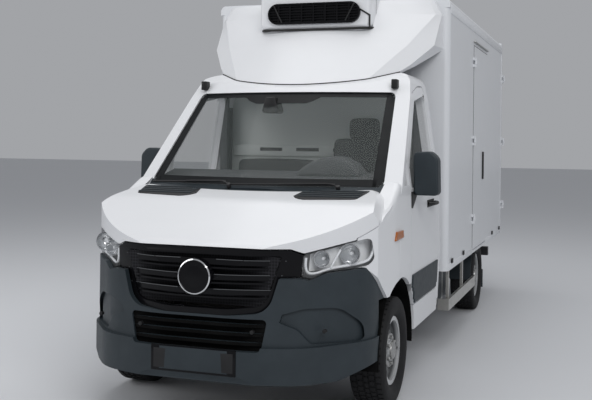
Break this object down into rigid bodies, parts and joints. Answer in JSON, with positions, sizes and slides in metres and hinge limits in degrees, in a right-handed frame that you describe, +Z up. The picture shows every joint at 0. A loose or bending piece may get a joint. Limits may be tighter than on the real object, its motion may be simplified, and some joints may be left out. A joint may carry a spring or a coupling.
{
  "type": "refrigerated truck",
  "caption": "Van-type chassis-cab truck with an insulated box body, side and rear doors, roof deflector and nose-mounted refrigeration unit, with turning and steering wheels.",
  "frame": {"origin": "on the ground, at the middle of the overall length and width", "axes": "+Z up, the truck faces -Y, +X is its left side"},
  "size_m": [2.3306, 6.219, 2.9449],
  "materials": {
    "white_paint": "gloss",
    "box_white": "satin",
    "dark_plastic": "textured",
    "gloss_black": "gloss",
    "glass": "clear",
    "lamp_clear": "clear",
    "lamp_red": "gloss",
    "tyre": "matte",
    "steel_rim": "satin",
    "cast_iron": "rough",
    "chassis_black": "satin",
    "aluminium": "satin",
    "interior": "grained",
    "seat_cloth": "woven"
  },
  "bodies": {
    "chassis": {"box_floor": "box_white", "box_front_wall": "box_white", "box_left_wall": "box_white", "box_rear_frame": "box_white", "box_right_wall": "box_white", "box_roof": "box_white", "cab_floor": "white_paint", "cab_rear_wall": "white_paint", "cab_roof": "white_paint", "cab_side_left": "white_paint", "cab_side_right": "white_paint", "cowl": "dark_plastic", "dashboard": "interior", "engine_and_driveline": "cast_iron", "evaporator": "box_white", "exhaust": "cast_iron", "fenders": "white_paint", "front_bumper": "dark_plastic", "front_rails": "chassis_black", "front_subframe": "chassis_black", "grille": "gloss_black", "headlamps": "lamp_clear", "ladder_frame": "chassis_black", "rear_axle": "chassis_black", "rear_mudguards": "dark_plastic", "refrigeration_unit": "white_paint", "roof_spoiler": "white_paint", "seats": "seat_cloth", "side_guards": "aluminium", "steering_wheel": "interior", "tail_lamps": "lamp_red", "tank_and_battery_box": "dark_plastic", "unit_grille": "gloss_black", "windscreen_and_quarter_glass": "glass"},
    "cab_door_left": {"cab_door_left": "white_paint", "door_glass_left": "glass", "mirror_left": "dark_plastic"},
    "rear_door_left": {"rear_door_left": "box_white"},
    "knuckle_left": {"knuckle_left": "cast_iron"},
    "wheel_front_left": {"tyre_front_left": "tyre", "rim_front_left": "steel_rim"},
    "wheel_rear_left": {"tyre_rear_left": "tyre", "rim_rear_left": "steel_rim"},
    "cab_door_right": {"cab_door_right": "white_paint", "door_glass_right": "glass", "mirror_right": "dark_plastic"},
    "rear_door_right": {"rear_door_right": "box_white"},
    "knuckle_right": {"knuckle_right": "cast_iron"},
    "wheel_front_right": {"tyre_front_right": "tyre", "rim_front_right": "steel_rim"},
    "wheel_rear_right": {"tyre_rear_right": "tyre", "rim_rear_right": "steel_rim"},
    "bonnet": {"bonnet": "white_paint"},
    "side_door": {"side_door": "box_white"}
  },
  "joints": [
    {"name": "bonnet_hinge", "type": "hinge", "parent": "chassis", "child": "bonnet", "pos_m": [0, -2.0795, 1.376], "axis": [-1, 0, 0], "range_deg": [0, 50]},
    {"name": "side_door_hinge", "type": "hinge", "parent": "chassis", "child": "side_door", "pos_m": [1.049, 0.8035, 1.75], "axis": [0, 0, -1], "range_deg": [0, 170]},
    {"name": "cab_door_left_hinge", "type": "hinge", "parent": "chassis", "child": "cab_door_left", "pos_m": [1.002, -1.7395, 1], "axis": [0, 0, -1], "range_deg": [0, 70]},
    {"name": "rear_door_left_hinge", "type": "hinge", "parent": "chassis", "child": "rear_door_left", "pos_m": [1.049, 3.0965, 1.75], "axis": [0, 0, -1], "range_deg": [0, 260]},
    {"name": "steer_left", "type": "hinge", "parent": "chassis", "child": "knuckle_left", "pos_m": [0.69, -2.0795, 0.352], "axis": [0, 0, 1], "range_deg": [-33, 33]},
    {"name": "wheel_spin_front_left", "type": "hinge", "parent": "knuckle_left", "child": "wheel_front_left", "pos_m": [0.858, -2.0795, 0.352], "axis": [1, 0, 0], "continuous": true},
    {"name": "wheel_spin_rear_left", "type": "hinge", "parent": "chassis", "child": "wheel_rear_left", "pos_m": [0.858, 1.5855, 0.352], "axis": [1, 0, 0], "continuous": true},
    {"name": "cab_door_right_hinge", "type": "hinge", "parent": "chassis", "child": "cab_door_right", "pos_m": [-1.002, -1.7395, 1], "axis": [0, 0, 1], "range_deg": [0, 70]},
    {"name": "rear_door_right_hinge", "type": "hinge", "parent": "chassis", "child": "rear_door_right", "pos_m": [-1.049, 3.0965, 1.75], "axis": [0, 0, 1], "range_deg": [0, 260]},
    {"name": "steer_right", "type": "hinge", "parent": "chassis", "child": "knuckle_right", "pos_m": [-0.69, -2.0795, 0.352], "axis": [0, 0, 1], "range_deg": [-33, 33]},
    {"name": "wheel_spin_front_right", "type": "hinge", "parent": "knuckle_right", "child": "wheel_front_right", "pos_m": [-0.858, -2.0795, 0.352], "axis": [1, 0, 0], "continuous": true},
    {"name": "wheel_spin_rear_right", "type": "hinge", "parent": "chassis", "child": "wheel_rear_right", "pos_m": [-0.858, 1.5855, 0.352], "axis": [1, 0, 0], "continuous": true}
  ],
  "couplings": [
    {"joint": "steer_right", "follows": "steer_left", "ratio": 1}
  ]
}
